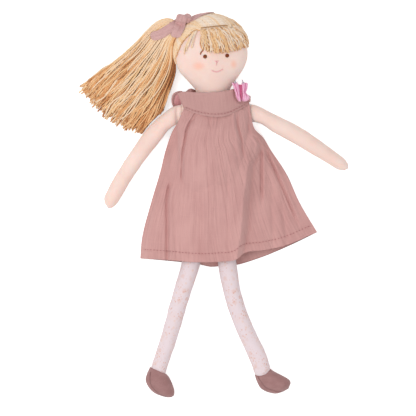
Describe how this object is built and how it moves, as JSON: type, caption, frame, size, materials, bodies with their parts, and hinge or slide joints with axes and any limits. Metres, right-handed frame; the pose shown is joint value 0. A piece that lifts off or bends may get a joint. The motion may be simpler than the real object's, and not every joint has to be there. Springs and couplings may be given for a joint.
{
  "type": "rag doll",
  "caption": "Soft cloth doll lying on its back, with a stuffed head, body and limbs, a side ponytail of yarn tied with a ribbon, a gathered dress with a yoke, printed tights and cloth shoes.",
  "frame": {"origin": "middle of the doll's outline, on the surface that it lies on", "axes": "+Y towards the crown, +X towards the doll's left, +Z out of the chest"},
  "size_m": [0.27, 0.3862, 0.0455],
  "materials": {
    "skin_cloth": "peach cotton jersey, soft and matte",
    "stuffing": "loose polyester fibre",
    "sewing_thread": "cotton sewing thread",
    "brown_embroidery": "brown embroidery thread",
    "pink_embroidery": "pink embroidery thread",
    "yarn": "beige cotton yarn",
    "ribbon_muslin": "mauve muslin strip",
    "dress_muslin": "dusty rose double gauze, crinkled",
    "brooch_satin": "pink satin ribbon",
    "tights_knit": "white knit with a small print",
    "shoe_cloth": "mauve brushed cloth"
  },
  "bodies": {
    "torso": {"torso_skin": "skin_cloth", "torso_stuffing": "stuffing", "neck_stitching": "sewing_thread", "shoulder_stitching_right": "sewing_thread", "shoulder_stitching_left": "sewing_thread", "yoke_front": "dress_muslin", "yoke_back": "dress_muslin", "shoulder_strap_right": "dress_muslin", "shoulder_strap_left": "dress_muslin", "dress_front": "dress_muslin", "dress_back": "dress_muslin", "brooch_tie": "brooch_satin", "brooch_lobe_right": "brooch_satin", "brooch_lobe_left": "brooch_satin", "brooch_tail_right": "brooch_satin", "brooch_tail_left": "brooch_satin"},
    "head": {"head_skin": "skin_cloth", "head_stuffing": "stuffing", "eye_right": "brown_embroidery", "eye_left": "brown_embroidery", "brow_right": "brown_embroidery", "nose": "pink_embroidery", "mouth": "pink_embroidery", "hair_cap": "yarn", "fringe": "yarn", "side_lock": "yarn", "parting_stitch": "sewing_thread", "ribbon_band": "ribbon_muslin", "ribbon_knot": "ribbon_muslin", "ribbon_tail_front": "ribbon_muslin", "ribbon_tail_side": "ribbon_muslin"},
    "ponytail": {"ponytail": "yarn", "hair_tie": "ribbon_muslin"},
    "arm_right": {"arm_right_skin": "skin_cloth", "arm_right_stuffing": "stuffing"},
    "arm_left": {"arm_left_skin": "skin_cloth", "arm_left_stuffing": "stuffing"},
    "lap": {"hip_stitching": "sewing_thread"},
    "leg_right": {"leg_right_skin": "tights_knit", "leg_right_stuffing": "stuffing", "shoe_right": "shoe_cloth"},
    "leg_left": {"leg_left_skin": "tights_knit", "leg_left_stuffing": "stuffing", "shoe_left": "shoe_cloth"}
  },
  "joints": [
    {"name": "neck_nod", "type": "hinge", "parent": "torso", "child": "head", "pos_m": [-0.0026, 0.10445, 0.0185], "axis": [1, 0, 0], "range_deg": [-20, 12]},
    {"name": "ponytail_swing", "type": "hinge", "parent": "head", "child": "ponytail", "pos_m": [-0.0429, 0.17315, 0.0228], "axis": [0, 1, 0], "range_deg": [-20, 32], "deforming": ["ribbon_tail_front", "ribbon_tail_side"]},
    {"name": "shoulder_right", "type": "hinge", "parent": "torso", "child": "arm_right", "pos_m": [-0.0356, 0.09095, 0.0185], "axis": [0, 1, 0], "range_deg": [-60, 80]},
    {"name": "shoulder_left", "type": "hinge", "parent": "torso", "child": "arm_left", "pos_m": [0.0304, 0.09095, 0.0185], "axis": [0, -1, 0], "range_deg": [-60, 80]},
    {"name": "hip_fold", "type": "hinge", "parent": "torso", "child": "lap", "pos_m": [-0.0041, -0.00155, 0.011], "axis": [-1, 0, 0], "range_deg": [-30, 90], "deforming": ["dress_front", "dress_back"]},
    {"name": "leg_spread_right", "type": "hinge", "parent": "lap", "child": "leg_right", "pos_m": [-0.0146, -0.00155, 0.011], "axis": [0, 0, 1], "range_deg": [-12, 6]},
    {"name": "leg_spread_left", "type": "hinge", "parent": "lap", "child": "leg_left", "pos_m": [0.0064, -0.00155, 0.011], "axis": [0, 0, 1], "range_deg": [-6, 12]}
  ]
}
